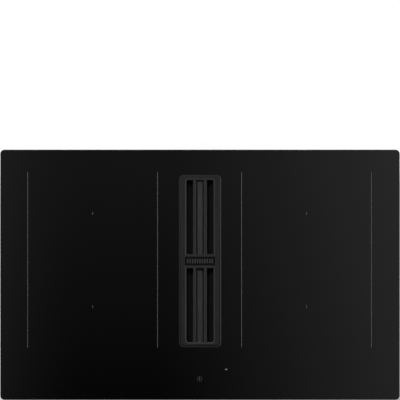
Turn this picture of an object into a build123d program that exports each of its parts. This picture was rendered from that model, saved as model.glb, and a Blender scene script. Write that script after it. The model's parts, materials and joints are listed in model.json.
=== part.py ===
from build123d import *
import math
import os

# Induction cooktop with a central downdraft extractor, in millimetres.
# X runs along the front edge, +Y points to the rear, +Z up. The origin is the centre of the glass outline,
# at the height of the worktop that the seal rests on.

# ---- glass and its seat ----
glass_width = 830.0
glass_depth = 520.0
glass_thickness = 4.0
glass_corner = 9.0
glass_bevel = 1.2
seal_thickness = 1.5
seal_width = 8.0
seal_inset = 3.0

# ---- air inlet: trim, grille ----
inlet_width = 87.3
inlet_length = 357.4
inlet_corner = 9.0
inlet_y = 28.6
trim_lip_thickness = 1.2
trim_lip_bevel = 0.95
trim_overlap = 2.0
trim_wall = 1.2
trim_drop = 9.0
glass_hole_clearance = 0.4
groove = 0.8
ledge_width = 4.0
seat_gap = 0.3
pad_thickness = 1.0
pad_width = 2.8
pad_length = 14.0
grille_rise = 1.3
grille_side_rim = 11.2
grille_end_rim = 6.0
grille_chamfer = 3.0
grille_edge_round = 0.8
bar_width = 6.4
bar_centre = 11.1
bar_drop = 0.8
bar_round = 1.2
cross_bar_width = 5.4
cross_bar_centre = 11.8
panel_sink = 4.0
fin_count = 11
fin_width = 2.6
fin_length = 9.3
fin_height = 2.6
notch_radius = 1.7
notch_depth = 3.0

# ---- filter ----
slide_clearance = 0.8
filter_corner = 1.5
sheet_clearance = 0.2
filter_frame_wall = 1.2
filter_frame_height = 12.0
filter_depth = 36.0
filter_sheet = 2.0
filter_valley_x = 17.0
filter_ridge_flat = 10.4
filter_top_gap = 2.5
filter_foot_margin = 2.0
fold_edge_gap = 1.5
fold_ridge_gap = 3.5
strap_width = 18.0
strap_thickness = 1.5

# ---- well, spill tray ----
well_wall = 2.0
well_seal_thickness = 1.0
lug_reach = 2.5
lug_length = 20.0
lug_height = 3.0
lug_pitch = 200.0
plenum_side_margin = 20.0
plenum_end_margin = 7.0
plenum_wall = 2.5
plenum_flange = 9.0
plenum_corner = 8.0
plenum_screw_inset = 20.0
tray_side_gap = 5.0
tray_end_gap = 8.0
tray_height = 16.0
tray_wall = 1.5
tray_foot_height = 14.0
tray_foot_radius = 4.0
tray_foot_inset_x = 11.0
tray_foot_inset_y = 13.0
tray_grip_length = 12.0
tray_grip_height = 2.0
tray_corner = 6.0

# ---- base pan ----
pan_side_margin = 40.0
pan_end_margin = 25.0
pan_corner = 6.0
pan_drop = 60.0
pan_sheet = 1.0
pan_flange = 10.0
adhesive_thickness = 0.8
pan_hole_clearance = 1.0
vent_slot_length = 30.0
vent_slot_width = 4.0
vent_slot_pitch = 40.0
vent_end_margin = 95.0
vent_row_pitch = 8.8
vent_disc_margin = 3.0

# ---- coils ----
coil_side_gap = 18.9
coil_pitch = 193.5
coil_middle_y = 30.6
coil_width = 206.0
coil_length = 184.0
coil_corner = 85.0
coil_rim = 2.0
coil_base = 3.0
coil_rim_drop = 0.5
winding_thickness = 4.5
winding_hole_radius = 24.0
sensor_radius = 9.0
mica_thickness = 0.8
ferrite_thickness = 5.0
ferrite_width = 14.0
ferrite_length = 52.0
ferrite_start = 28.0
ferrite_count = 8
carrier_side_margin = 31.0
carrier_end_margin = 3.3
carrier_corner = 8.0
mica_margin = 4.0
carrier_sheet = 1.5
carrier_window_radius = 20.0
post_radius = 6.0
post_inset = 11.0

# ---- power electronics ----
board_width = 220.0
board_length = 236.0
board_shift = 45.4
board_thickness = 1.6
board_corner = 2.0
board_height = 8.0
standoff_radius = 4.0
standoff_inset = 8.0
sink_width = 190.0
sink_length = 60.0
sink_height = 24.0
sink_base = 5.0
sink_fin = 1.6
sink_fin_count = 20
choke_radius = 17.0
choke_height = 20.0
capacitor_width = 46.0
capacitor_length = 24.0
capacitor_height = 26.0
fan_side = 92.0
fan_gap = 12.0
fan_height = 26.0
fan_wall = 2.0
fan_cavity_radius = 42.0
fan_eye_radius = 32.0
fan_hub_radius = 14.0
fan_spoke = 5.0
fan_rotor_radius = 38.0
fan_rotor_height = 18.0
fan_blade_count = 13
fan_blade = 1.5
fan_blade_root = 2.0
fan_pin_radius = 2.0
fan_cover_sheet = 1.5
fan_corner = 4.0
fan_wheel_lift = 1.5
fan_blade_twist = 12.0
running_clearance = 0.05

# ---- touch controls ----
touch_width = 320.0
touch_length = 48.0
touch_pan_gap = 1.5
touch_height = 9.0
touch_wall = 1.5
touch_corner = 4.0
touch_board_gap = 0.5
touch_board_sheet = 1.6
touch_pad_radius = 4.0
touch_pad_pitch = 26.0
touch_pad_count = 11

# ---- blower ----
blower_y = 14.0
housing_wall = 2.5
lid_sheet = 3.0
plenum_drop = 105.0
scroll_gap = 8.0
scroll_step = 8.0
flare_run = 63.0
flare_straight = 23.0
outlet_width = 222.0
outlet_height = 89.0
outlet_wall = 2.0
outlet_shoulder = 3.75
outlet_corner = 6.0
outlet_flange_sheet = 3.0
outlet_length = 34.0
boss_radius = 5.0
boss_reach = 3.0
boss_height = 22.0
screw_radius = 2.0
screw_clearance = 0.1
screw_length = 16.0
screw_head_radius = 3.8
screw_head_height = 2.6
eye_radius = 72.0
eye_wall = 2.0
eye_flange = 10.0
eye_round = 1.8
eye_rise_above_wheel = 4.5
shroud_gap = 1.0
blade_depth = 20.0
blade_twist = 25.0
impeller_lift = 9.0
impeller_height = 62.0
impeller_sheet = 2.0
blade_count = 36
blade_sheet = 1.2
blade_inset = 1.0
shroud_height = 4.0
bracket_radius = 60.0
bracket_sheet = 2.0
grommet_pitch_radius = 50.0
grommet_radius = 8.0
grommet_height = 8.0
grommet_neck_radius = 5.0
grommet_pin_radius = 3.0
bearing_tube_radius = 9.0
bearing_radius = 7.0
bearing_height = 6.0
bearing_tube_height = 34.0
stator_radius = 38.0
stator_lift = 9.0
stator_height = 22.0
stator_slot_count = 9
stator_slot_width = 9.0
stator_slot_depth = 18.0
stator_slot_radius = 26.5
rotor_radius = 43.0
rotor_wall = 2.5
rotor_height = 36.0
rotor_gap = 3.0
shaft_radius = 3.0
shaft_lift = 0.5
dish_gap = 1.5
pin_stub = 2.0
grommet_start_angle = 30.0

# ---- mains and driver boxes ----
terminal_inset_x = 85.0
terminal_inset_y = 55.0
terminal_width = 84.0
terminal_length = 76.0
terminal_height = 28.0
terminal_wall = 2.0
terminal_corner = 3.0
gland_radius = 11.0
gland_bore = 5.5
gland_length = 18.0
gland_nut_radius = 14.0
gland_nut_length = 5.0
driver_gap = 19.0
driver_y = 60.0
driver_width = 90.0
driver_length = 120.0
driver_height = 34.0
driver_wall = 2.0
driver_corner = 4.0

# ---- fixing clamps ----
clamp_inset = 95.0
clamp_screw_offset = 8.0
clamp_screw_radius = 2.5
clamp_bracket_width = 16.0
clamp_bracket_reach = 13.0
clamp_bracket_sheet = 1.5
clamp_bracket_top = -8.0
clamp_arm_width = 10.0
clamp_arm_reach = 36.0
clamp_arm_sheet = 3.0
clamp_arm_height = 8.0
clamp_head_radius = 4.5
clamp_head_height = 3.0
clamp_lip_height = 3.0
clamp_screw_stub = 1.0

# ---- heights worked out from the values above ----
glass_under = seal_thickness
glass_top_z = glass_under + glass_thickness
trim_top = glass_top_z + trim_lip_thickness
grille_top = trim_top + grille_rise
ledge_top = trim_top - trim_drop
ledge_under = ledge_top - trim_wall
grille_under = ledge_top + seat_gap + pad_thickness
well_top = ledge_under - well_seal_thickness
pan_under = -pan_drop
pan_floor = pan_under + pan_sheet
pan_flange_top = glass_under - adhesive_thickness
frame_top = ledge_under - filter_top_gap
frame_under = frame_top - filter_frame_height
lug_top = frame_under - seat_gap
lid_top = -plenum_drop
lid_under = lid_top - lid_sheet
housing_floor = lid_under - outlet_height - 2 * outlet_shoulder
housing_under = housing_floor - housing_wall

# ---- widths worked out from the values above ----
glass_hole_width = inlet_width - 2 * trim_overlap
glass_hole_length = inlet_length - 2 * trim_overlap
trim_outer_width = glass_hole_width - 2 * glass_hole_clearance
trim_outer_length = glass_hole_length - 2 * glass_hole_clearance
trim_inner_width = trim_outer_width - 2 * trim_wall
trim_inner_length = trim_outer_length - 2 * trim_wall
well_width = trim_inner_width - 2 * ledge_width
well_length = trim_inner_length - 2 * ledge_width
grille_width = trim_inner_width - 2 * groove
grille_length = trim_inner_length - 2 * groove
opening_width = grille_width - 2 * grille_side_rim
opening_length = grille_length - 2 * grille_end_rim
filter_width = well_width - 2 * slide_clearance
filter_length = well_length - 2 * slide_clearance
mouth_corner = filter_corner + slide_clearance
tray_width = well_width - 2 * tray_side_gap
tray_length = well_length - 2 * tray_end_gap
impeller_inner_radius = eye_radius + eye_wall + shroud_gap
impeller_radius = impeller_inner_radius + blade_depth
plenum_width = 2 * (eye_radius + eye_flange + plenum_side_margin)
plenum_length = well_length + 2 * plenum_end_margin
pan_width = glass_width - 2 * pan_side_margin
pan_depth = glass_depth - 2 * pan_end_margin
carrier_width = coil_width + 2 * carrier_side_margin
carrier_length = coil_pitch + coil_length + 2 * carrier_end_margin

# ---- places worked out from the values above ----
coil_x = pan_width / 2 - coil_side_gap - carrier_width / 2
coil_front_y = coil_middle_y - coil_pitch / 2
coil_rear_y = coil_middle_y + coil_pitch / 2
board_y = coil_middle_y + board_shift
fan_y = board_y - board_length / 2 - fan_gap - fan_side / 2
touch_y = -(pan_depth / 2 - pan_flange - touch_pan_gap - touch_length / 2)
terminal_x = -(pan_width / 2 - terminal_inset_x)
terminal_y = pan_depth / 2 - terminal_inset_y
driver_x = plenum_width / 2 + plenum_flange + driver_gap + driver_width / 2
clamp_y = pan_depth / 2 - clamp_inset
scroll_start_radius = impeller_radius + scroll_gap
scroll_right = scroll_start_radius + 3 * scroll_step
scroll_left = scroll_right - (outlet_width - 2 * outlet_wall)
scroll_flare_y = blower_y + scroll_start_radius + flare_run
outlet_flange_y = scroll_flare_y + flare_straight
outlet_x = (scroll_left + scroll_right) / 2
boss_offset = housing_wall + boss_reach

sides = {"left": -1, "right": 1}
coil_rows = {"front": coil_front_y, "rear": coil_rear_y}


def slab(width, length, low, high, corner=0.0, at=(0.0, 0.0)):
    """An upright block with rounded corners, from height low to height high."""
    outline = RectangleRounded(width, length, corner) if corner > 0 else Rectangle(width, length)
    return extrude(Plane.XY.offset(low) * Pos(at[0], at[1]) * outline, high - low)


def rod(radius, low, high, at=(0.0, 0.0)):
    """An upright cylinder from height low to height high."""
    return extrude(Plane.XY.offset(low) * Pos(at[0], at[1]) * Circle(radius), high - low)


def frame_ring(width, length, wall, low, high, corner, at=(0.0, 0.0)):
    """A rectangular ring whose inner corner follows its outer one."""
    inner = slab(width - 2 * wall, length - 2 * wall, low, high, max(corner - wall, 0.5), at)
    return slab(width, length, low, high, corner, at) - inner


def loose(shapes):
    """Separate solids that share one node."""
    solids = []
    for shape in shapes:
        solids.extend(shape.solids())
    return Compound(children=solids)


def top_edges(shape, height):
    """The edges that lie flat at a height."""
    return [edge for edge in shape.edges() if abs(edge.bounding_box().min.Z - height) < 1e-4
            and abs(edge.bounding_box().max.Z - height) < 1e-4]


def ring_spots(count, radius, start=0.0):
    """Points evenly spaced on a circle, as (x, y, angle in degrees)."""
    spots = []
    for index in range(count):
        angle = start + 360.0 * index / count
        spots.append((radius * math.cos(math.radians(angle)), radius * math.sin(math.radians(angle)), angle))
    return spots


# ---------------------------------------------------------------- glass and seals
def make_glass():
    plate = slab(glass_width, glass_depth, glass_under, glass_top_z, glass_corner)
    plate = chamfer(top_edges(plate, glass_top_z), glass_bevel)
    hole = slab(glass_hole_width, glass_hole_length, glass_under, glass_top_z,
                inlet_corner - trim_overlap, (0.0, inlet_y))
    return plate - hole


def make_worktop_seal():
    return frame_ring(glass_width - 2 * seal_inset, glass_depth - 2 * seal_inset, seal_width,
                      0.0, glass_under, glass_corner - seal_inset)


def make_adhesive():
    return frame_ring(pan_width, pan_depth, pan_flange, pan_flange_top, glass_under, pan_corner)


# ---------------------------------------------------------------- inlet
def make_trim():
    place = (0.0, inlet_y)
    lip = slab(inlet_width, inlet_length, glass_top_z, trim_top, inlet_corner, place)
    lip = chamfer(top_edges(lip, trim_top), trim_lip_bevel)
    wall_corner = inlet_corner - trim_overlap - glass_hole_clearance
    wall = slab(trim_outer_width, trim_outer_length, ledge_under, glass_top_z, wall_corner, place)
    inside = slab(trim_inner_width, trim_inner_length, ledge_top, trim_top, wall_corner - trim_wall, place)
    mouth = slab(well_width, well_length, ledge_under, ledge_top, mouth_corner, place)
    return lip + wall - inside - mouth


def make_grille():
    place = (0.0, inlet_y)
    corner = inlet_corner - trim_overlap - glass_hole_clearance - trim_wall - groove
    bar_top = grille_top - bar_drop
    blank = slab(grille_width, grille_length, grille_under, grille_top, corner, place)
    blank = fillet(top_edges(blank, grille_top), grille_edge_round)
    opening = slab(opening_width, opening_length, grille_under, grille_top, corner, place)
    rim = blank - opening
    mouth_edges = [edge for edge in top_edges(rim, grille_top)
                   if abs(edge.center().X) < opening_width / 2 + 1
                   and abs(edge.center().Y - inlet_y) < opening_length / 2 + 1]
    rim = chamfer(mouth_edges, grille_chamfer)
    body = rim
    for side in (-1, 1):
        bar = slab(bar_width, opening_length + 2, grille_under, bar_top, 0, (side * bar_centre, inlet_y))
        long_edges = [edge for edge in top_edges(bar, bar_top) if edge.length > bar_width * 2]
        body += fillet(long_edges, bar_round)
        body += slab(opening_width + 2, cross_bar_width, grille_under, bar_top, 0,
                     (0.0, inlet_y + side * cross_bar_centre))
    panel_length = 2 * cross_bar_centre
    panel_top = grille_top - panel_sink
    body += slab(opening_width + 2, panel_length, grille_under, panel_top, 0, place)
    recess = slab(opening_width + 2 * grille_chamfer, panel_length - cross_bar_width, panel_top,
                  grille_top, 0, place)
    body -= recess
    for index in range(fin_count):
        fin_x = (index - (fin_count - 1) / 2) * opening_width / fin_count
        body += slab(fin_width, fin_length, panel_top, panel_top + fin_height, 0, (fin_x, inlet_y))
    for side in (-1, 1):
        body -= rod(notch_radius, grille_top - notch_depth, grille_top,
                    (0.0, inlet_y + side * (grille_length / 2)))
    return body


def make_grille_pads():
    pads = []
    pad_x = (trim_inner_width / 2 + well_width / 2) / 2 - groove / 2
    for side in (-1, 1):
        for row in (-1, 0, 1):
            spot = (side * pad_x, inlet_y + row * lug_pitch / 2)
            pads.append(slab(pad_width, pad_length, grille_under - pad_thickness, grille_under, 0, spot))
    return loose(pads)


# ---------------------------------------------------------------- filter
def fold_points(half_width, drop):
    """The folded sheet's outline in X and Z: down, up to the flat top of the middle ridge, down and up."""
    edge = frame_top - fold_edge_gap - drop
    valley = frame_top - filter_depth - drop
    ridge = frame_top - fold_ridge_gap - drop
    return [(-half_width, edge), (-filter_valley_x, valley), (-filter_ridge_flat / 2, ridge),
            (filter_ridge_flat / 2, ridge), (filter_valley_x, valley), (half_width, edge)]


def make_filter_mesh():
    half_width = filter_width / 2 - filter_frame_wall - sheet_clearance
    outline = fold_points(half_width, 0.0) + fold_points(half_width, filter_sheet)[::-1]
    length = filter_length - 2 * (filter_frame_wall + sheet_clearance)
    face = Plane.XZ.offset(-(inlet_y + length / 2)) * make_face(Polyline(*outline, close=True))
    return extrude(face, length)


def make_filter_frame():
    place = (0.0, inlet_y)
    frame = frame_ring(filter_width, filter_length, filter_frame_wall, frame_under, frame_top,
                       filter_corner, place)
    half_width = filter_width / 2 - filter_frame_wall / 2
    low = frame_top - filter_depth - filter_sheet
    outline = [(-half_width, frame_top), (half_width, frame_top), (half_width, frame_under),
               (filter_valley_x + filter_foot_margin, low),
               (-filter_valley_x - filter_foot_margin, low), (-half_width, frame_under)]
    for side in (-1, 1):
        y_low = inlet_y + side * (filter_length / 2 - filter_frame_wall / 2) - filter_frame_wall / 2
        face = Plane.XZ.offset(-(y_low + filter_frame_wall)) * make_face(Polyline(*outline, close=True))
        frame += extrude(face, filter_frame_wall)
    return frame


def make_filter_handle():
    return slab(filter_width, strap_width, frame_top, frame_top + strap_thickness, 1.0, (0.0, inlet_y))


# ---------------------------------------------------------------- well and spill tray
def make_well_seal():
    return frame_ring(well_width + 2 * well_wall, well_length + 2 * well_wall, well_wall,
                      well_top, ledge_under, mouth_corner + well_wall, (0.0, inlet_y))


def make_well():
    place = (0.0, inlet_y)
    well = frame_ring(well_width + 2 * well_wall, well_length + 2 * well_wall, well_wall,
                      pan_under - plenum_wall, well_top, mouth_corner + well_wall, place)
    roof = slab(plenum_width, plenum_length, pan_under - plenum_wall, pan_under, plenum_corner, place)
    roof -= slab(well_width, well_length, pan_under - plenum_wall, pan_under, mouth_corner, place)
    skirt = frame_ring(plenum_width, plenum_length, plenum_wall, lid_top, pan_under, plenum_corner, place)
    foot = slab(plenum_width + 2 * plenum_flange, plenum_length + 2 * plenum_flange, lid_top,
                lid_top + plenum_wall, plenum_corner + plenum_flange, place)
    foot -= slab(plenum_width - 2 * plenum_wall, plenum_length - 2 * plenum_wall, lid_top,
                 lid_top + plenum_wall, plenum_corner - plenum_wall, place)
    well = well + roof + skirt + foot
    for side in (-1, 1):
        for row in (-1, 1):
            spot = (side * (well_width / 2 - lug_reach / 2), inlet_y + row * lug_pitch / 2)
            well += slab(lug_reach, lug_length, lug_top - lug_height, lug_top, 0, spot)
    for spot in plenum_screw_spots():
        well -= rod(screw_radius + screw_clearance, lid_top, lid_top + plenum_wall, spot)
    return well


def plenum_screw_spots():
    x = plenum_width / 2 + plenum_flange / 2
    y = plenum_length / 2 - plenum_screw_inset
    return [(side * x, inlet_y + row * y) for side in (-1, 1) for row in (-1, 1)]


def make_spill_tray():
    place = (0.0, inlet_y)
    low = lid_top + seat_gap + tray_foot_height
    tray = slab(tray_width, tray_length, low, low + tray_height, tray_corner, place)
    tray -= slab(tray_width - 2 * tray_wall, tray_length - 2 * tray_wall, low + tray_wall,
                 low + tray_height, tray_corner - tray_wall, place)
    grip_low = low + tray_height - tray_grip_height
    tray += slab(tray_width, tray_grip_length, grip_low, low + tray_height, 0, place)
    for side in (-1, 1):
        for row in (-1, 1):
            spot = (side * (tray_width / 2 - tray_foot_inset_x),
                    inlet_y + row * (tray_length / 2 - tray_foot_inset_y))
            tray += rod(tray_foot_radius, low - tray_foot_height, low, spot)
    return tray


# ---------------------------------------------------------------- blower housing
def scroll_inside():
    """The scroll's cavity seen from above: three widening quarter turns, then a flare to the outlet."""
    start = scroll_start_radius
    step = scroll_step
    flare = scroll_flare_y - blower_y
    end = outlet_flange_y - blower_y
    edges = [
        CenterArc((0, 0), start, 90, 90),
        CenterArc((step, 0), start + step, 180, 90),
        CenterArc((step, step), start + 2 * step, 270, 90),
        Line((scroll_right, step), (scroll_right, end)),
        Line((scroll_right, end), (scroll_left, end)),
        Line((scroll_left, end), (scroll_left, flare)),
        Line((scroll_left, flare), (0, start)),
    ]
    return Pos(0, blower_y) * make_face(edges)


def scroll_outside():
    """The cavity's outline widened by the wall and cut square at the outlet."""
    grown = offset(scroll_inside(), housing_wall, kind=Kind.ARC)
    reach = scroll_right * 4
    behind = Pos(0, outlet_flange_y + reach / 2) * Rectangle(reach, reach)
    return grown - behind


def boss_spots():
    """Screw bosses round the scroll's wall, each off the quarter turn that it stands on."""
    start = scroll_start_radius
    step = scroll_step
    turns = [((0, 0), start, 145), ((step, 0), start + step, 222), ((step, 0), start + step, 256),
             ((step, step), start + 2 * step, 292), ((step, step), start + 2 * step, 340)]
    spots = []
    for centre, radius, angle in turns:
        reach = radius + boss_offset
        spots.append((centre[0] + reach * math.cos(math.radians(angle)),
                      blower_y + centre[1] + reach * math.sin(math.radians(angle))))
    spots.append((scroll_right + boss_offset, blower_y + start))
    return spots


def make_housing_lower():
    cavity = extrude(Plane.XY.offset(housing_floor) * scroll_inside(), lid_under - housing_floor)
    shell = extrude(Plane.XY.offset(housing_under) * scroll_outside(), lid_under - housing_under)
    for spot in boss_spots():
        shell += rod(boss_radius, lid_under - boss_height, lid_under, spot)
    shell -= cavity
    for spot in boss_spots():
        shell -= rod(screw_radius + screw_clearance, lid_under - screw_length, lid_under, spot)
    for spot in grommet_spots():
        shell += rod(grommet_pin_radius, housing_floor, housing_floor + grommet_height + pin_stub, spot)
    return shell


def make_housing_upper():
    lid = extrude(Plane.XY.offset(lid_under) * scroll_outside(), lid_sheet)
    lid += slab(plenum_width + 2 * plenum_flange, plenum_length + 2 * plenum_flange, lid_under, lid_top,
                plenum_corner + plenum_flange, (0.0, inlet_y))
    for spot in boss_spots():
        lid += rod(boss_radius, lid_under, lid_top, spot)
    lid -= rod(eye_radius + eye_wall + screw_clearance, lid_under, lid_top, (0.0, blower_y))
    for spot in boss_spots() + plenum_screw_spots():
        lid -= rod(screw_radius + screw_clearance, lid_under, lid_top, spot)
    return lid


def make_inlet_ring():
    place = (0.0, blower_y)
    ring = rod(eye_radius + eye_flange, lid_top, lid_top + eye_wall, place)
    low = impeller_top + eye_rise_above_wheel
    ring += rod(eye_radius + eye_wall, low, lid_top, place)
    bore = rod(eye_radius, low, lid_top + eye_wall, place)
    ring -= bore
    mouth = [edge for edge in top_edges(ring, lid_top + eye_wall)
             if edge.length < 2 * math.pi * (eye_radius + eye_wall)]
    return fillet(mouth, eye_round)


def make_housing_screws():
    screws = []
    for spot in boss_spots():
        screws.append(rod(screw_radius, lid_top - screw_length, lid_top, spot)
                      + rod(screw_head_radius, lid_top, lid_top + screw_head_height, spot))
    for spot in plenum_screw_spots():
        head_low = lid_top + plenum_wall
        screws.append(rod(screw_radius, lid_under, head_low, spot)
                      + rod(screw_head_radius, head_low, head_low + screw_head_height, spot))
    return loose(screws)


def make_outlet_collar():
    middle = (housing_floor + lid_under) / 2
    back = Plane.XZ.offset(-outlet_flange_y)
    width = outlet_width + 2 * (housing_wall - outlet_wall)
    flange = extrude(back * Pos(outlet_x, (housing_under + lid_under) / 2)
                     * RectangleRounded(width, lid_under - housing_under, housing_wall),
                     -outlet_flange_sheet)
    spigot = extrude(back * Pos(outlet_x, middle)
                     * RectangleRounded(outlet_width, outlet_height, outlet_corner),
                     -(outlet_flange_sheet + outlet_length))
    bore = extrude(back * Pos(outlet_x, middle)
                   * RectangleRounded(outlet_width - 2 * outlet_wall, outlet_height - 2 * outlet_wall,
                                      outlet_corner - outlet_wall),
                   -(outlet_flange_sheet + outlet_length))
    return flange + spigot - bore


# ---------------------------------------------------------------- fan and motor
bracket_low = housing_floor + (grommet_height - bracket_sheet) / 2
bracket_top = bracket_low + bracket_sheet
bearing_low = bracket_top
bearing_tube_top = bracket_top + bearing_tube_height
stator_low = bracket_top + stator_lift
rotor_top = bearing_tube_top + rotor_gap + rotor_wall
rotor_low = rotor_top - rotor_height
impeller_low = bracket_top + impeller_lift
impeller_top = impeller_low + impeller_height


def grommet_spots():
    return [(x, blower_y + y) for x, y, angle in ring_spots(3, grommet_pitch_radius, grommet_start_angle)]


def make_motor_bracket():
    place = (0.0, blower_y)
    plate = rod(bracket_radius, bracket_low, bracket_top, place)
    plate += rod(bearing_tube_radius, bracket_top, bearing_tube_top, place)
    plate -= rod(bearing_radius, bracket_top, bearing_tube_top, place)
    for spot in grommet_spots():
        plate -= rod(grommet_neck_radius, bracket_low, bracket_top, spot)
    return plate


def make_grommets():
    grommets = []
    for spot in grommet_spots():
        grommet = rod(grommet_radius, housing_floor, bracket_low, spot)
        grommet += rod(grommet_neck_radius, bracket_low, bracket_top, spot)
        grommet += rod(grommet_radius, bracket_top, housing_floor + grommet_height, spot)
        grommet -= rod(grommet_pin_radius, housing_floor, housing_floor + grommet_height, spot)
        grommets.append(grommet)
    return loose(grommets)


def make_bearings():
    place = (0.0, blower_y)
    bearings = []
    for low in (bearing_low, bearing_tube_top - bearing_height):
        ring = rod(bearing_radius, low, low + bearing_height, place)
        bearings.append(ring - rod(shaft_radius + running_clearance, low, low + bearing_height, place))
    return loose(bearings)


def make_shaft():
    return rod(shaft_radius, bearing_low + shaft_lift, rotor_top, (0.0, blower_y))


def make_stator():
    place = (0.0, blower_y)
    high = stator_low + stator_height
    stack = rod(stator_radius, stator_low, high, place)
    for x, y, angle in ring_spots(stator_slot_count, stator_slot_radius):
        slot = Box(stator_slot_depth, stator_slot_width, stator_height)
        stack -= Pos(x, blower_y + y, (stator_low + high) / 2) * Rot(0, 0, angle) * slot
    return stack - rod(bearing_tube_radius, stator_low, high, place)


def make_rotor():
    place = (0.0, blower_y)
    can = rod(rotor_radius, rotor_low, rotor_top, place)
    can -= rod(rotor_radius - rotor_wall, rotor_low, rotor_top - rotor_wall, place)
    return can - rod(shaft_radius, rotor_top - rotor_wall, rotor_top, place)


def make_impeller():
    place = (0.0, blower_y)
    dish_inner = rotor_radius + dish_gap
    dish_outer = dish_inner + impeller_sheet
    wheel = rod(impeller_radius, impeller_low, impeller_low + impeller_sheet, place)
    wheel += rod(dish_outer, impeller_low, rotor_top + impeller_sheet, place)
    wheel -= rod(dish_inner, impeller_low, rotor_top, place)
    shroud = rod(impeller_radius, impeller_top - shroud_height, impeller_top, place)
    shroud -= rod(impeller_inner_radius, impeller_top - shroud_height, impeller_top, place)
    length = blade_depth - 2 * blade_inset
    middle = impeller_inner_radius + blade_depth / 2
    blade_height = impeller_height - impeller_sheet
    blades = []
    for x, y, angle in ring_spots(blade_count, middle):
        blade = Pos(x, blower_y + y, impeller_low + impeller_sheet + blade_height / 2)
        blades.append(blade * Rot(0, 0, angle + blade_twist) * Box(length, blade_sheet, blade_height))
    return wheel + blades + shroud


# ---------------------------------------------------------------- base pan
def make_pan():
    pan = slab(pan_width, pan_depth, pan_under, pan_flange_top, pan_corner)
    pan -= slab(pan_width - 2 * pan_sheet, pan_depth - 2 * pan_sheet, pan_floor, pan_flange_top,
                pan_corner - pan_sheet)
    pan += frame_ring(pan_width, pan_depth, pan_flange, pan_flange_top - pan_sheet, pan_flange_top,
                      pan_corner)
    hole_wall = well_wall + pan_hole_clearance
    pan -= slab(well_width + 2 * hole_wall, well_length + 2 * hole_wall, pan_under, pan_floor,
                mouth_corner + hole_wall, (0.0, inlet_y))
    vent_slot_count = int((pan_width - 2 * vent_end_margin) / vent_slot_pitch)
    for index in range(vent_slot_count):
        x = (index - (vent_slot_count - 1) / 2) * vent_slot_pitch
        pan -= Pos(x, -pan_depth / 2 + pan_sheet / 2, pan_under / 2) * Box(
            vent_slot_length, pan_sheet * 3, vent_slot_width)
    for side in sides.values():
        rows = int((fan_eye_radius - vent_slot_width) / vent_row_pitch)
        for row in range(-rows, rows + 1):
            half = math.sqrt(fan_eye_radius ** 2 - (row * vent_row_pitch) ** 2) - vent_disc_margin
            pan -= slab(2 * half, vent_slot_width, pan_under, pan_floor, 0,
                        (side * coil_x, fan_y + row * vent_row_pitch))
    return pan


# ---------------------------------------------------------------- coils
winding_top = glass_under - mica_thickness
winding_low = winding_top - winding_thickness
former_low = winding_low - coil_base
ferrite_low = former_low - ferrite_thickness
carrier_low = ferrite_low - carrier_sheet


def make_coil_former(x, y):
    former = slab(coil_width, coil_length, former_low, winding_top - coil_rim_drop, coil_corner, (x, y))
    former -= slab(coil_width - 2 * coil_rim, coil_length - 2 * coil_rim, winding_low, winding_top,
                   coil_corner - coil_rim, (x, y))
    return former - rod(sensor_radius + 1.0, former_low, winding_low, (x, y))


def make_coil_winding(x, y):
    inset = coil_rim + 1.0
    turns = slab(coil_width - 2 * inset, coil_length - 2 * inset, winding_low, winding_top,
                 coil_corner - inset, (x, y))
    return turns - rod(winding_hole_radius, winding_low, winding_top, (x, y))


def make_ferrites():
    bars = []
    for side in sides.values():
        for y in coil_rows.values():
            middle = ferrite_start + ferrite_length / 2
            for dx, dy, angle in ring_spots(ferrite_count, middle, 180.0 / ferrite_count):
                bar = Box(ferrite_length, ferrite_width, ferrite_thickness)
                spot = Pos(side * coil_x + dx, y + dy, ferrite_low + ferrite_thickness / 2)
                bars.append(spot * Rot(0, 0, angle) * bar)
    return loose(bars)


def make_sensors():
    return loose([rod(sensor_radius, former_low, winding_top, (side * coil_x, y))
                  for side in sides.values() for y in coil_rows.values()])


def make_mica():
    return loose([slab(carrier_width - 2 * mica_margin, carrier_length - 2 * mica_margin, winding_top,
                       glass_under, carrier_corner - mica_margin / 2, (side * coil_x, coil_middle_y))
                  for side in sides.values()])


def make_carrier(side):
    plate = slab(carrier_width, carrier_length, carrier_low, ferrite_low, carrier_corner,
                 (side * coil_x, coil_middle_y))
    for y in coil_rows.values():
        plate -= rod(carrier_window_radius, carrier_low, ferrite_low, (side * coil_x, y))
    return plate


def make_posts():
    posts = []
    for side in sides.values():
        for across in (-1, 1):
            for along in (-1, 1):
                spot = (side * coil_x + across * (carrier_width / 2 - post_inset),
                        coil_middle_y + along * (carrier_length / 2 - post_inset))
                posts.append(rod(post_radius, pan_floor, carrier_low, spot))
    return loose(posts)


# ---------------------------------------------------------------- power electronics
board_low = pan_floor + board_height
board_top = board_low + board_thickness


def make_power_board(side):
    middle = (side * coil_x, board_y)
    board = slab(board_width, board_length, board_low, board_top, board_corner, middle)
    for across in (-1, 1):
        for along in (-1, 1):
            spot = (middle[0] + across * (board_width / 2 - standoff_inset),
                    middle[1] + along * (board_length / 2 - standoff_inset))
            board += rod(standoff_radius, pan_floor, board_low, spot)
    for row in (-1, 1):
        spot = (middle[0] + row * board_width / 4, middle[1] + board_length / 4)
        board += rod(choke_radius, board_top, board_top + choke_height, spot)
        spot = (middle[0] + row * board_width / 4, middle[1] + board_length / 2 - capacitor_length)
        board += slab(capacitor_width, capacitor_length, board_top, board_top + capacitor_height,
                      board_corner, spot)
    return board


def make_heat_sink(side):
    middle = (side * coil_x, board_y - board_length / 4)
    sink = slab(sink_width, sink_length, board_top, board_top + sink_base, 0, middle)
    pitch = (sink_width - sink_fin) / (sink_fin_count - 1)
    for index in range(sink_fin_count):
        fin_x = middle[0] + (index - (sink_fin_count - 1) / 2) * pitch
        sink += slab(sink_fin, sink_length, board_top + sink_base, board_top + sink_height, 0,
                     (fin_x, middle[1]))
    return sink


fan_floor = pan_floor + fan_wall
fan_top = pan_floor + fan_height


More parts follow.
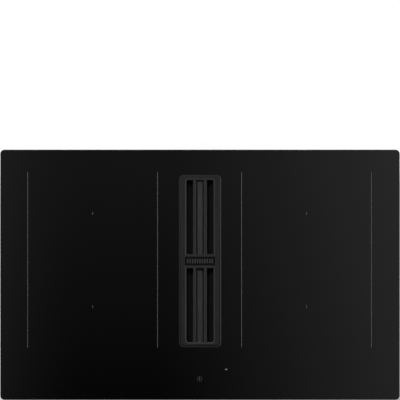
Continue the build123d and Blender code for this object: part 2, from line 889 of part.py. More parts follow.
def make_fan_housing(side):
    place = (side * coil_x, fan_y)
    housing = slab(fan_side, fan_side, pan_floor, fan_top, fan_corner, place)
    housing -= rod(fan_cavity_radius, fan_floor, fan_top, place)
    housing -= slab(fan_cavity_radius, fan_side, fan_floor, fan_top, 0,
                    (place[0] + fan_cavity_radius / 2, place[1] + fan_side / 2))
    eye = rod(fan_eye_radius, pan_floor, fan_floor, place) - rod(fan_hub_radius, pan_floor, fan_floor, place)
    for angle in (0, 60, 120):
        eye -= Pos(place[0], place[1], (pan_floor + fan_floor) / 2) * Rot(0, 0, angle) * Box(
            fan_side, fan_spoke, fan_wall)
    housing -= eye
    return housing + rod(fan_pin_radius, fan_floor, fan_top - fan_wall, place)


def make_fan_impeller(side):
    place = (side * coil_x, fan_y)
    low = fan_floor + fan_wheel_lift
    wheel = rod(fan_hub_radius, low, low + fan_rotor_height, place)
    middle = (fan_hub_radius + fan_rotor_radius) / 2
    blades = []
    for x, y, angle in ring_spots(fan_blade_count, middle):
        blade = Box(fan_rotor_radius - fan_hub_radius + fan_blade_root, fan_blade, fan_rotor_height)
        blades.append(Pos(place[0] + x, place[1] + y, low + fan_rotor_height / 2)
                      * Rot(0, 0, angle + fan_blade_twist) * blade)
    wheel = wheel + blades
    return wheel - rod(fan_pin_radius + running_clearance, low, low + fan_rotor_height, place)


def make_fan_covers():
    return loose([slab(fan_side, fan_side, fan_top, fan_top + fan_cover_sheet, fan_corner,
                       (side * coil_x, fan_y))
                  for side in sides.values()])


# ---------------------------------------------------------------- touch controls
def make_touch_carrier():
    place = (0.0, touch_y)
    low = glass_under - touch_height
    carrier = slab(touch_width, touch_length, low, glass_under, touch_corner, place)
    return carrier - slab(touch_width - 2 * touch_wall, touch_length - 2 * touch_wall, low + touch_wall,
                          glass_under, touch_corner - touch_wall, place)


def make_touch_board():
    low = glass_under - touch_height + touch_wall
    inner = touch_wall + touch_board_gap
    board = slab(touch_width - 2 * inner, touch_length - 2 * inner, low, low + touch_board_sheet,
                 touch_corner - inner, (0.0, touch_y))
    for index in range(touch_pad_count):
        x = (index - (touch_pad_count - 1) / 2) * touch_pad_pitch
        board += rod(touch_pad_radius, low + touch_board_sheet, glass_under, (x, touch_y))
    return board


# ---------------------------------------------------------------- mains and driver boxes
terminal_low = pan_under - terminal_height


def make_terminal_box():
    place = (terminal_x, terminal_y)
    box = slab(terminal_width, terminal_length, terminal_low, pan_under, terminal_corner, place)
    box -= slab(terminal_width - 2 * terminal_wall, terminal_length - 2 * terminal_wall,
                terminal_low + terminal_wall, pan_under, terminal_corner - terminal_wall, place)
    hole = Plane.XZ.offset(-(terminal_y + terminal_length / 2)) * Pos(terminal_x, gland_z())
    return box - extrude(hole * Circle(gland_radius), terminal_wall)


def gland_z():
    return terminal_low + terminal_height / 2


def make_cable_gland():
    wall = terminal_y + terminal_length / 2
    gland = extrude(Plane.XZ.offset(-(wall + gland_length)) * Pos(terminal_x, gland_z())
                    * Circle(gland_radius), gland_length + terminal_wall)
    nut = extrude(Plane.XZ.offset(-(wall + gland_nut_length)) * Pos(terminal_x, gland_z())
                  * RegularPolygon(gland_nut_radius, 6), gland_nut_length)
    bore = extrude(Plane.XZ.offset(-(wall + gland_length)) * Pos(terminal_x, gland_z())
                   * Circle(gland_bore), gland_length + terminal_wall)
    return gland + nut - bore


def make_driver_box():
    place = (driver_x, driver_y)
    low = pan_under - driver_height
    box = slab(driver_width, driver_length, low, pan_under, driver_corner, place)
    return box - slab(driver_width - 2 * driver_wall, driver_length - 2 * driver_wall,
                      low + driver_wall, pan_under - driver_wall, driver_corner - driver_wall, place)


# ---------------------------------------------------------------- fixing clamps
clamp_screw_x = pan_width / 2 + clamp_screw_offset
clamp_spots = {
    "left_front": (-clamp_screw_x, -clamp_y), "left_rear": (-clamp_screw_x, clamp_y),
    "right_front": (clamp_screw_x, -clamp_y), "right_rear": (clamp_screw_x, clamp_y),
}


def make_clamp_brackets():
    brackets = []
    for x, y in clamp_spots.values():
        side = math.copysign(1, x)
        middle = side * (pan_width / 2 + clamp_bracket_reach / 2)
        bracket = slab(clamp_bracket_reach, clamp_bracket_width, pan_under, clamp_bracket_top, 0,
                       (middle, y))
        bracket -= slab(clamp_bracket_reach, clamp_bracket_width, pan_under + clamp_bracket_sheet,
                        clamp_bracket_top - clamp_bracket_sheet, 0,
                        (middle + side * clamp_bracket_sheet, y))
        bracket -= rod(clamp_screw_radius + screw_clearance, pan_under, clamp_bracket_top, (x, y))
        brackets.append(bracket)
    return loose(brackets)


def make_clamp_screws():
    tip = clamp_bracket_top + clamp_screw_stub
    return loose([rod(clamp_screw_radius, pan_under - clamp_head_height, tip, spot)
                  + rod(clamp_head_radius, pan_under - clamp_head_height, pan_under, spot)
                  for spot in clamp_spots.values()])


def make_clamp_arm(spot):
    x, y = spot
    away = math.copysign(1, y)
    low = pan_under + clamp_arm_height
    high = low + clamp_arm_sheet
    arm = rod(clamp_arm_width / 2, low, high, spot)
    arm += slab(clamp_arm_width, clamp_arm_reach, low, high, 0, (x, y + away * clamp_arm_reach / 2))
    arm += slab(clamp_arm_width, clamp_arm_sheet, low, high + clamp_lip_height, 0,
                (x, y + away * (clamp_arm_reach - clamp_arm_sheet / 2)))
    return arm - rod(clamp_screw_radius + running_clearance, low, high, spot)


# ---------------------------------------------------------------- writing the parts
def build_all():
    """Every piece by the name of its file."""
    pieces = {
        "glass_top": make_glass(),
        "worktop_seal": make_worktop_seal(),
        "glass_adhesive": make_adhesive(),
        "inlet_trim": make_trim(),
        "grille": make_grille(),
        "grille_pads": make_grille_pads(),
        "filter_mesh": make_filter_mesh(),
        "filter_frame": make_filter_frame(),
        "filter_handle": make_filter_handle(),
        "spill_tray": make_spill_tray(),
        "well_seal": make_well_seal(),
        "suction_well": make_well(),
        "blower_housing_upper": make_housing_upper(),
        "blower_housing_lower": make_housing_lower(),
        "inlet_ring": make_inlet_ring(),
        "housing_screws": make_housing_screws(),
        "outlet_collar": make_outlet_collar(),
        "motor_bracket": make_motor_bracket(),
        "motor_grommets": make_grommets(),
        "motor_bearings": make_bearings(),
        "motor_shaft": make_shaft(),
        "motor_stator": make_stator(),
        "motor_rotor": make_rotor(),
        "blower_impeller": make_impeller(),
        "base_pan": make_pan(),
        "coil_ferrites": make_ferrites(),
        "coil_sensors": make_sensors(),
        "mica_sheets": make_mica(),
        "carrier_posts": make_posts(),
        "fan_covers": make_fan_covers(),
        "touch_carrier": make_touch_carrier(),
        "touch_board": make_touch_board(),
        "terminal_box": make_terminal_box(),
        "cable_gland": make_cable_gland(),
        "driver_box": make_driver_box(),
        "clamp_brackets": make_clamp_brackets(),
        "clamp_screws": make_clamp_screws(),
    }
    for side_name, side in sides.items():
        pieces["coil_carrier_" + side_name] = make_carrier(side)
        pieces["power_board_" + side_name] = make_power_board(side)
        pieces["heat_sink_" + side_name] = make_heat_sink(side)
        pieces["fan_housing_" + side_name] = make_fan_housing(side)
        pieces["fan_impeller_" + side_name] = make_fan_impeller(side)
        for row_name, row_y in coil_rows.items():
            coil_name = side_name + "_" + row_name
            pieces["coil_former_" + coil_name] = make_coil_former(side * coil_x, row_y)
            pieces["coil_winding_" + coil_name] = make_coil_winding(side * coil_x, row_y)
    for spot_name, spot in clamp_spots.items():
        pieces["clamp_arm_" + spot_name] = make_clamp_arm(spot)
    return pieces


os.makedirs("parts", exist_ok=True)
for node_name, piece in build_all().items():
    export_step(piece, "parts/" + node_name + ".step")
    print(node_name, len(piece.solids()))
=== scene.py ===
# %% [markdown]
# # A downdraft induction cooktop
# This lesson dresses a cooktop whose construction is already settled. Every solid piece, from the glass to
# the blower below it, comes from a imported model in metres, and Blender adds what that model can't hold: the
# finish of each surface, the marks printed on the glass, the openings of the grease filter, the squeezed
# foam and rubber, and the copper windings.
# The origin is the middle of the glass, on the worktop. X runs along the front edge, Y to the rear, Z up.

# %% Load the construction
import json
import math
import random

import bmesh
import bpy
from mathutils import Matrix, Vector


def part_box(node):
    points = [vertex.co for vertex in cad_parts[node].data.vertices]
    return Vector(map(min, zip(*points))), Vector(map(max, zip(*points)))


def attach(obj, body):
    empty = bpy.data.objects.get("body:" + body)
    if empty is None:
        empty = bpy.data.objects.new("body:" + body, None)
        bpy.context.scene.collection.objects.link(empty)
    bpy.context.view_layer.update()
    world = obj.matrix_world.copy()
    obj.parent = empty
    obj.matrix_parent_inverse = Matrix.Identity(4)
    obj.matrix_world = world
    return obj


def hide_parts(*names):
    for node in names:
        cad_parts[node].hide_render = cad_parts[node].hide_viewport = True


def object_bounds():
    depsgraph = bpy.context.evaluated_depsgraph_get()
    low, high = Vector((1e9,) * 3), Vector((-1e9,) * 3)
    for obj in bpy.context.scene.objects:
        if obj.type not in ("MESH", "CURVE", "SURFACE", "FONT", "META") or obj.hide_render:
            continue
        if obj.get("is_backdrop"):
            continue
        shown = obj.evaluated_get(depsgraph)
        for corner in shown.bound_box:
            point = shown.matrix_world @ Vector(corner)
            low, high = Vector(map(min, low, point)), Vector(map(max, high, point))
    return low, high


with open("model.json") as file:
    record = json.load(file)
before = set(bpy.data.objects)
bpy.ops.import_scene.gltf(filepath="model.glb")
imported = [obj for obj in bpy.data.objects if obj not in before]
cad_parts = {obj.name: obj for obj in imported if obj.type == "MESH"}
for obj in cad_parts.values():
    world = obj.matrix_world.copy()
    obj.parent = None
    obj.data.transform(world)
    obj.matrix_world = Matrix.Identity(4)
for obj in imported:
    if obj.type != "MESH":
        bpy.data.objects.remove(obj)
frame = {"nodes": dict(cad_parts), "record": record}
cad_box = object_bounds()
slot_of = {part["node"]: part["material_slot"] for part in frame["record"]["subparts"]}

# %% [markdown]
# ## Sizes that the rest is hung on
# A printed mark has to lie on the glass and a filter in its frame, so each place is read from the piece that
# carries it. Only what the construction doesn't know, such as where the marks are printed, is a number here.

# %% Measure the glass, the inlet and the filter
MM = 0.001
glass_low, glass_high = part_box("glass_top")
glass_face = glass_high.z
trim_low, trim_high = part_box("inlet_trim")
grille_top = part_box("grille")[1].z
inlet_middle = (trim_low.y + trim_high.y) / 2
print("glass", [round(v, 4) for v in glass_high - glass_low], "face at", round(glass_face, 4))
print("inlet runs from", round(trim_low.y, 4), "to", round(trim_high.y, 4), "middle", round(inlet_middle, 4))

# %% [markdown]
# ## A small language for finishes
# A procedural finish is arithmetic on textures: this much noise, less that much scratch. Clicking it together
# node by node hides the arithmetic, so one class wraps a socket and lets Python's own operators add the Math
# nodes. Anything else, from a noise to a whole shader, is made by one method of the finish.

# %% Wrap a socket so that it can be added and multiplied
class Socket:
    """One output of a node in a finish."""

    def __init__(self, finish, link):
        self.finish, self.link = finish, link

    def maths(self, operation, first, second=0.5):
        """Adds a Math node. One that works on a single value leaves its second alone."""
        made = self.finish.node("Math", {"operation": operation}, {"Value": first, "Value_001": second})
        return made["Value"]

    def __add__(self, other):
        return self.maths("ADD", self, other)

    def __radd__(self, other):
        return self.maths("ADD", other, self)

    def __sub__(self, other):
        return self.maths("SUBTRACT", self, other)

    def __rsub__(self, other):
        return self.maths("SUBTRACT", other, self)

    def __mul__(self, other):
        return self.maths("MULTIPLY", self, other)

    def __rmul__(self, other):
        return self.maths("MULTIPLY", other, self)

    def __truediv__(self, other):
        return self.maths("DIVIDE", self, other)

    def __pow__(self, other):
        return self.maths("POWER", self, other)

    def __abs__(self):
        return self.maths("ABSOLUTE", self)

    def wave(self):
        return self.maths("SINE", self)

    def at_least(self, other):
        return self.maths("MAXIMUM", self, other)

    def rise(self, low, high):
        """0 up to low, 1 from high on, and a smooth step between them. It falls where low is the larger."""
        made = self.finish.node("MapRange", {"interpolation_type": "SMOOTHSTEP"},
                                {"Value": self, "From Min": low, "From Max": high})
        return made["Result"]


# %% [markdown]
# ## The finish itself
# A finish owns one material. Its `node` method sets a node's own settings first, because they can change
# which sockets the node has, and then fills the sockets with numbers, colours or links.

# %% Build a finish out of nodes
def grey(level):
    """A neutral colour from a 0 to 255 screen level."""
    share = level / 255
    value = share / 12.92 if share <= 0.04045 else ((share + 0.055) / 1.055) ** 2.4
    return value, value, value


class Finish:
    """One material, and the only place where its nodes are made."""

    def __init__(self, name):
        self.material = bpy.data.materials.new(name)
        self.material.use_nodes = True
        self.tree = self.material.node_tree
        self.tree.nodes.clear()

    def node(self, kind, settings=None, values=None):
        """Adds a node and returns its outputs by name."""
        made = self.tree.nodes.new("ShaderNode" + kind)
        for name, value in (settings or {}).items():
            setattr(made, name, value)
        sockets = {s.name: s for s in reversed(made.inputs) if s.enabled}
        sockets.update({s.identifier: s for s in made.inputs})
        for name, value in (values or {}).items():
            self.fill(sockets[name], value)
        outputs = {s.name: s for s in reversed(made.outputs) if s.enabled}
        outputs.update({s.identifier: s for s in made.outputs})
        return {name: Socket(self, s) for name, s in outputs.items()}

    def fill(self, socket, value):
        if isinstance(value, Socket):
            self.tree.links.new(value.link, socket)
        elif socket.type == "RGBA":
            socket.default_value = (*value, 1.0)
        else:
            socket.default_value = value

    def place(self, stretch=None):
        """The point on the piece in metres, stretched along its axes if asked."""
        spot = self.node("TexCoord")["Object"]
        if stretch is None:
            return spot
        return self.node("Mapping", None, {"Vector": spot, "Scale": stretch})["Vector"]

    def along(self, axis):
        """One coordinate of the point, in metres."""
        return self.node("SeparateXYZ", None, {"Vector": self.place()})[axis]

    def facing(self, axis):
        """How far the surface looks along an axis, from -1 to 1."""
        return self.node("SeparateXYZ", None, {"Vector": self.node("NewGeometry")["Normal"]})[axis]

    def noise(self, size, detail=3.0, rough=0.5, stretch=None):
        """A soft random field with features of about that size in metres, from 0 to 1."""
        return self.node("TexNoise", None, {"Vector": self.place(stretch), "Scale": 1 / size,
                                            "Detail": detail, "Roughness": rough})["Fac"]

    def cells(self, size, feature="F1"):
        """How far the point is from the middle of its random cell, where 1 is the size of the cells."""
        return self.node("TexVoronoi", {"feature": feature},
                         {"Vector": self.place(), "Scale": 1 / size})["Distance"]

    def mix(self, share, first, second):
        """A colour between two, where share is 0 and 1."""
        return self.node("Mix", {"data_type": "RGBA"}, {"Factor_Float": share, "A_Color": first,
                                                        "B_Color": second})["Result_Color"]

    def bump(self, height, depth):
        """Normals for a height from 0 to 1, where 1 stands depth metres high."""
        return self.node("Bump", None, {"Height": height, "Distance": depth, "Strength": 1.0})["Normal"]

    def surface(self, values):
        """Ends the finish in a Principled shader and returns its material."""
        shader = self.node("BsdfPrincipled", None, values)["BSDF"]
        self.node("OutputMaterial", None, {"Surface": shader})
        return self.material


print("screen level 60 is linear", round(grey(60)[0], 4))

# %% [markdown]
# ## Black glass-ceramic
# The top is one sheet of glass-ceramic that is black through and through. It gets its look from what it
# mirrors, so its own colour is almost nothing. Only three things break the mirror: the rim that was ground
# round after cutting, which is dull and a little paler, a faint haze where cloths have wiped it, and the
# enamelled underside. A mask from the direction of the surface tells rim and underside from the top face.

# %% Make the glass finish
def black_glass():
    finish = Finish("black_glass_ceramic")
    upward = finish.facing("Z")
    rim = 1 - upward.rise(0.75, 0.985)
    wiped = finish.noise(0.09, 2.0, 0.5, (1.0, 0.35, 1.0)).rise(0.35, 0.75)
    colour = finish.mix(rim, (0.0009, 0.0009, 0.0011), grey(16))
    return finish.surface({
        "Base Color": colour,
        "Roughness": 0.03 + wiped * 0.025 + rim * 0.45,
        "IOR": 1.5,
        "Normal": finish.bump(finish.noise(0.0006, 2.0) * rim, 0.00005),
    })


# %% [markdown]
# ## Printed marks
# The zone lines and the touch marks are a ceramic ink, fired onto the glass. It is matt, and under a lens it
# is a raster of tiny dots, so the ink gets a grain in its height and a slight unevenness in its grey.

# %% Make the ink finishes
def ink(name, level):
    finish = Finish(name)
    patchy = finish.noise(0.004, 2.0).rise(0.3, 0.7)
    dots = finish.cells(0.00035).rise(0.1, 0.5)
    return finish.surface({
        "Base Color": finish.mix(patchy, grey(level * 0.9), grey(level)),
        "Roughness": 0.55,
        "Specular IOR Level": 0.3,
        "Normal": finish.bump(dots, 0.00001),
    })


# %% [markdown]
# ## Cast and coated metal
# The grille is a casting under a matt black enamel. Enamel over cast iron is never quite flat: it follows the
# grain of the sand it was cast in. Its colour also holds painted light: the arrises are a paler grey, a
# painted highlight, and the floors of the recessed panel in the middle and of the small notch at each end
# are near black, a painted shade. The bars and fins are a paler grey than the rim. Two masks say where: one
# from the direction of the surface, one from how many millimetres the point lies below the rim. The bars'
# tops lie 0.8 mm below it, those of the fins 1.4 and the panel's floor 4.
#
# The slim trim round the inlet is sheet steel with a satin powder coat, which has a finer orange peel. Its
# bevelled edge is rubbed shiny, so a clear coat lies over the faces that don't look up.

# %% Make the casting and the coated trim
def cast_enamel():
    finish = Finish("matt_enamelled_casting")
    grain = finish.noise(0.0011, 4.0, 0.62)
    cloud = finish.noise(0.03, 2.0).rise(0.3, 0.7)
    speck = finish.cells(0.0016).rise(0.25, 0.0)
    tilt = finish.facing("Z")
    # Chamfered faces get a paler grey, a painted highlight.
    arris_highlight = tilt.rise(0.97, 0.85) * tilt.rise(0.2, 0.5)
    drop = (grille_top - finish.along("Z")) / MM
    in_panel = abs(finish.along("Y") - inlet_middle).rise(10.0 * MM, 9.2 * MM)
    bars = drop.rise(0.4, 0.7) * drop.rise(1.2, 0.9)
    fins = drop.rise(1.2, 1.35) * drop.rise(2.2, 1.6) * in_panel
    notch = tilt.rise(0.9, 0.97) * drop.rise(1.2, 1.6) * (1 - in_panel)
    # The floors of the recessed panel and of the notches get near black, a painted shade.
    recess_shade = drop.rise(2.2, 3.4).at_least(notch)
    colour = finish.mix(cloud, grey(32), grey(36))
    colour = finish.mix(bars, colour, grey(41))
    # The painted highlight on the arrises.
    colour = finish.mix(arris_highlight, colour, grey(62))
    colour = finish.mix(fins, colour, grey(56))
    colour = finish.mix(speck * 0.3, colour, grey(50))
    # The painted shade on the recessed floors.
    colour = finish.mix(recess_shade, colour, grey(4))
    return finish.surface({
        "Base Color": colour,
        "Roughness": 0.56 + grain * 0.14,
        "Specular IOR Level": 0.06,
        "Normal": finish.bump(grain, 0.00012),
    })


def powder_coat():
    finish = Finish("satin_powder_coat")
    peel = finish.noise(0.0007, 2.0, 0.4)
    cloud = finish.noise(0.05, 2.0)
    polished = finish.facing("Z").rise(0.95, 0.8)
    return finish.surface({
        "Base Color": finish.mix(cloud, grey(11), grey(15)),
        "Roughness": 0.36 + peel * 0.12,
        "Specular IOR Level": 0.1,
        "Coat Weight": polished * 0.6,
        "Coat Roughness": 0.2,
        "Normal": finish.bump(peel, 0.00002),
    })


# %% [markdown]
# ## Plain metals
# Aluminium from the mill, zinc-plated sheet and ground steel are all bare metal, and what tells them apart is
# the pattern of their roughness: long rolling streaks on the aluminium, the frozen flowers of the zinc bath
# on the sheet, fine lines where a grinding wheel ran. One function makes the streaked ones, and a second
# makes the plated one out of random cells.

# %% Make the bare metals
def streaked_metal(name, colour, stretch, rough, spread):
    finish = Finish(name)
    streak = finish.noise(0.02, 5.0, 0.65, stretch)
    cloud = finish.noise(0.06, 2.0)
    dark = tuple(0.82 * c for c in colour)
    return finish.surface({
        "Base Color": finish.mix(streak * 0.6 + cloud * 0.4, dark, colour),
        "Metallic": 1.0,
        "Roughness": rough + streak * spread,
        "Normal": finish.bump(streak, 0.00002),
    })


def zinc_plate():
    finish = Finish("zinc_plated_sheet")
    flower = finish.node("TexVoronoi", None, {"Vector": finish.place(), "Scale": 1 / 0.009})
    shade = finish.node("SeparateColor", None, {"Color": flower["Color"]})["Red"]
    rub = finish.noise(0.012, 4.0, 0.6, (1.0, 0.2, 1.0))
    return finish.surface({
        "Base Color": finish.mix(shade * 0.7 + rub * 0.3, (0.40, 0.41, 0.43), (0.58, 0.60, 0.62)),
        "Metallic": 1.0,
        "Roughness": 0.34 + shade * 0.14 + rub * 0.08,
        "Normal": finish.bump(flower["Distance"], 0.00003),
    })


# %% [markdown]
# ## Filter metal
# The grease filter is aluminium. On its flat top and its frame it is grey metal with the rolling streaks in
# it. Down in the folds it is near black, a painted shade for the folds that lie deep under the grille. So the
# mask between the two follows the height of the point, with noise in it.

# %% Make the filter metal
# Between these heights the grey metal fades into the painted shade of the folds.
grey_above, shade_below = -10.5 * MM, -14.5 * MM


def filter_metal():
    finish = Finish("filter_mesh_metal")
    streak = finish.noise(0.006, 4.0, 0.6, (1.0, 0.25, 1.0))
    ragged = finish.noise(0.005, 3.0) * (3.0 * MM)
    # Near black below this height is a painted shade in the folds.
    black = (finish.along("Z") + ragged).rise(grey_above, shade_below)
    grey_metal = finish.mix(streak, grey(46), grey(60))
    return finish.surface({
        "Base Color": finish.mix(black, grey_metal, (0.0140, 0.0135, 0.0130)),
        "Metallic": 0.2,
        "Roughness": 0.48 + streak * 0.12,
        "Specular IOR Level": 0.25,
        "Normal": finish.bump(streak, 0.00003),
    })


# %% [markdown]
# ## Mouldings, foam and rubber
# The ducting and boxes below are polypropylene with a spark-eroded grain, which is a fine, even texture that
# scatters light. The seals are closed-cell foam, so they show cut bubbles, and silicone is smooth but
# collects dust. All three are the same recipe with another texture: cells for foam, fine noise for the
# others.

# %% Make the plastics, foam and silicone
def moulded(name, level, rough=0.5):
    finish = Finish(name)
    spark = finish.noise(0.0005, 3.0, 0.55)
    flow = finish.noise(0.08, 3.0, 0.5, (1.0, 0.4, 1.0))
    return finish.surface({
        "Base Color": finish.mix(flow, grey(level * 0.92), grey(level * 1.06)),
        "Roughness": rough + spark * 0.12,
        "Normal": finish.bump(spark, 0.00004),
    })


def cell_foam():
    finish = Finish("closed_cell_foam")
    bubble = finish.cells(0.0009, "SMOOTH_F1").rise(0.0, 0.55)
    cloud = finish.noise(0.02, 2.0)
    return finish.surface({
        "Base Color": finish.mix(bubble * 0.7 + cloud * 0.3, grey(24), grey(46)),
        "Roughness": 0.9,
        "Specular IOR Level": 0.2,
        "Normal": finish.bump(bubble, 0.00025),
    })


def silicone():
    finish = Finish("black_silicone")
    dust = finish.noise(0.003, 5.0, 0.7).rise(0.5, 0.75)
    return finish.surface({
        "Base Color": finish.mix(dust * 0.5, grey(36), grey(64)),
        "Roughness": 0.5 + dust * 0.25,
        "Normal": finish.bump(finish.noise(0.0008, 2.0), 0.00003),
    })


# %% [markdown]
# ## What is under the glass
# Sintered ferrite is dull with bright grains. Mica is pressed from flakes that shine one by one. The motor's
# core is a stack of sheets half a millimetre thick, so a wave in height draws them. A circuit board has
# copper under its green lacquer, which shows as paler tracks: two grids of lines, kept where a noise allows.

# %% Make the ferrite, ceramic, mica, lamination and board finishes
def speckled(name, dark, light, size, rough):
    finish = Finish(name)
    speck = finish.node("TexVoronoi", None, {"Vector": finish.place(), "Scale": 1 / size})
    shade = finish.node("SeparateColor", None, {"Color": speck["Color"]})["Red"]
    return finish.surface({
        "Base Color": finish.mix(shade ** 2, dark, light),
        "Roughness": rough - shade * 0.15,
        "Normal": finish.bump(finish.noise(size * 1.5, 3.0), 0.00004),
    })


def laminations():
    finish = Finish("stacked_laminations")
    sheets = (finish.along("Z") * (2 * math.pi / 0.0005)).wave() * 0.5 + 0.5
    blue = finish.noise(0.01, 3.0)
    return finish.surface({
        "Base Color": finish.mix(sheets * 0.5 + blue * 0.5, (0.10, 0.10, 0.115), (0.22, 0.22, 0.23)),
        "Metallic": 0.8,
        "Roughness": 0.45 + sheets * 0.15,
        "Normal": finish.bump(sheets, 0.00008),
    })


def circuit_board():
    finish = Finish("green_circuit_board")
    pitch = 0.0025
    across = (finish.along("X") * (2 * math.pi / pitch)).wave().rise(0.2, 0.6)
    down = (finish.along("Y") * (2 * math.pi / pitch)).wave().rise(0.2, 0.6)
    choice = finish.noise(0.02, 1.0).rise(0.48, 0.52)
    flat = abs(finish.facing("Z")).rise(0.8, 0.95)
    tracks = (across * choice + down * (1 - choice)) * finish.noise(0.012, 2.0).rise(0.4, 0.5) * flat
    return finish.surface({
        "Base Color": finish.mix(tracks, (0.012, 0.085, 0.035), (0.03, 0.17, 0.07)),
        "Roughness": 0.28 + finish.noise(0.004, 3.0) * 0.15,
        "Coat Weight": flat * 0.4,
        "Normal": finish.bump(tracks, 0.00006),
    })


# %% [markdown]
# ## Copper litz
# A coil is wound from a rope of hair-thin enamelled wires. The turns themselves are modelled further down,
# and the finish adds the lay of the strands: fine ribs that run at a slant round the rope.

# %% Make the copper finish
def copper_litz():
    finish = Finish("enamelled_copper_litz")
    strand = finish.noise(0.0012, 2.0, 0.5, (1.0, 1.0, 0.3))
    ribs = ((finish.along("X") + finish.along("Y") + finish.along("Z")) * (2 * math.pi / 0.0011)).wave()
    lay = ribs * 0.5 + 0.5
    return finish.surface({
        "Base Color": finish.mix(strand * 0.6 + lay * 0.4, (0.36, 0.13, 0.06), (0.72, 0.32, 0.16)),
        "Metallic": 0.85,
        "Roughness": 0.32 + strand * 0.15,
        "Normal": finish.bump(lay, 0.00008),
    })


# %% [markdown]
# ## Dress the construction
# The record already says which kind of surface each node has, so one table from that kind to a finish dresses
# all of them, and no node can be forgotten. Only the spill tray has a finish of its own: a duller plastic
# in a near black, a painted shade for a piece deep under the filter, so it doesn't show pale in the openings.

# %% Give every node its finish
finishes = {
    "ceramic_glass": black_glass(),
    "foam_seal": cell_foam(),
    "silicone": silicone(),
    "black_trim": powder_coat(),
    "cast_grille": cast_enamel(),
    "filter_metal": filter_metal(),
    "black_plastic": moulded("black_moulding", 44),
    "grey_plastic": moulded("grey_moulding", 112),
    "zinc_steel": zinc_plate(),
    "bright_steel": streaked_metal("ground_steel", (0.62, 0.62, 0.63), (1.0, 1.0, 0.05), 0.18, 0.12),
    "plain_aluminium": streaked_metal("mill_aluminium", (0.74, 0.74, 0.75), (0.06, 1.0, 1.0), 0.28, 0.16),
    "copper_litz": copper_litz(),
    "ferrite": speckled("sintered_ferrite", (0.035, 0.035, 0.038), (0.12, 0.12, 0.125), 0.0006, 0.7),
    "white_ceramic": speckled("white_ceramic", (0.62, 0.60, 0.54), (0.78, 0.76, 0.70), 0.0008, 0.6),
    "mica": speckled("pressed_mica", (0.38, 0.33, 0.22), (0.78, 0.74, 0.62), 0.003, 0.55),
    "lamination": laminations(),
    "green_board": circuit_board(),
}
# The near black of the tray is a painted shade.
tray_shade_finish = moulded("shaded_tray_moulding", 16, 0.75)
for node, piece in frame["nodes"].items():
    piece.material_slots[0].material = tray_shade_finish if node == "spill_tray" else finishes[slot_of[node]]
print("dressed", len(frame["nodes"]), "nodes in", len(finishes) + 1, "finishes")


# %% [markdown]
# ## Make a new piece
# Each piece that Blender adds is a mesh in the same frame, in metres, that rides on the body it belongs to.
# Its points are written where they lie, so its own origin stays at the frame's.

# %% Turn points and faces into a piece
def add_piece(name, points, faces, finish, body="root", smooth=False):
    mesh = bpy.data.meshes.new(name)
    mesh.from_pydata([tuple(p) for p in points], [], faces)
    mesh.polygons.foreach_set("use_smooth", [smooth] * len(mesh.polygons))
    mesh.materials.append(finish)
    piece = bpy.data.objects.new(name, mesh)
    bpy.context.scene.collection.objects.link(piece)
    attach(piece, body)
    return piece


# %% [markdown]
# ## The printed marks as thin solids
# A mark could be painted by the glass finish, but then its edge would blur with the texture. Here each one is
# a closed film a few hundredths of a millimetre thick, which is what screen-printed ink is. A line is a bar
# with round ends, a ring is two half bands, and one function raises any of them off the glass.

# %% Raise outlines off the glass
ink_thickness = 0.04 * MM
end_steps = 6


def bar_outline(x, y, length, width, angle=0.0):
    """A bar with round ends, centred on a point, as a ring of points. Its length runs along angle."""
    straight = length - width
    points = []
    for end in (1, -1):
        for step in range(end_steps + 1):
            turn = math.pi * (step / end_steps - 0.5) + (0 if end == 1 else math.pi)
            points.append((end * straight / 2 + width / 2 * math.cos(turn), width / 2 * math.sin(turn)))
    c, s = math.cos(angle), math.sin(angle)
    return [(x + c * u - s * v, y + s * u + c * v) for u, v in points]


def arc_band(x, y, radius, width, start, end, steps):
    """A band along an arc, as a ring of points that goes out along it and comes back."""
    turns = [start + (end - start) * k / steps for k in range(steps + 1)]
    outer = [(x + (radius + width / 2) * math.cos(t), y + (radius + width / 2) * math.sin(t)) for t in turns]
    inner = [(x + (radius - width / 2) * math.cos(t), y + (radius - width / 2) * math.sin(t)) for t in turns]
    return outer + inner[::-1]


def print_marks(name, outlines, finish):
    """One piece of ink with each outline as a closed film on the glass."""
    points, faces = [], []
    for outline in outlines:
        first, count = len(points), len(outline)
        points += [(x, y, glass_face) for x, y in outline]
        points += [(x, y, glass_face + ink_thickness) for x, y in outline]
        faces.append([first + k for k in reversed(range(count))])
        faces.append([first + count + k for k in range(count)])
        for k in range(count):
            after = (k + 1) % count
            faces.append([first + k, first + after, first + count + after, first + count + k])
    return add_piece(name, points, faces, finish)


print("ink stands", ink_thickness / MM, "mm off the glass")

# %% [markdown]
# ## Zone lines and ticks
# Two thin lines each side of the inlet frame the left and the right pair of cooking zones, and a short tick
# marks the middle of each zone. They stand at the same distance left and right, so a loop mirrors them.

# %% Print the lines and the ticks
line_x = (87.3 * MM, 357.0 * MM)
line_rear, line_front = 213.5 * MM, -150.8 * MM
line_width = 0.8 * MM
print_shift = -0.9 * MM
tick_x = 222.1 * MM
tick_rows = (127.3 * MM, -66.2 * MM)
tick_length, tick_width = 6.0 * MM, 0.9 * MM

line_middle, line_length = (line_rear + line_front) / 2, line_rear - line_front
zone_lines = [bar_outline(side * x + print_shift, line_middle, line_length, line_width, math.pi / 2)
              for side in (-1, 1) for x in line_x]
ticks = [bar_outline(side * tick_x + print_shift, y, tick_length, tick_width, math.pi / 2)
         for side in (-1, 1) for y in tick_rows]
print_marks("zone_lines", zone_lines, ink("line_ink", 92))
print_marks("zone_ticks", ticks, ink("tick_ink", 88))
print("printed", len(zone_lines), "lines and", len(ticks), "ticks")

# %% [markdown]
# ## Touch marks
# At the front are the few marks that stay visible when the cooktop is off: the switch, a ring with a bar
# inside it, and one small light mark right of it. The other keys only show when they are lit.

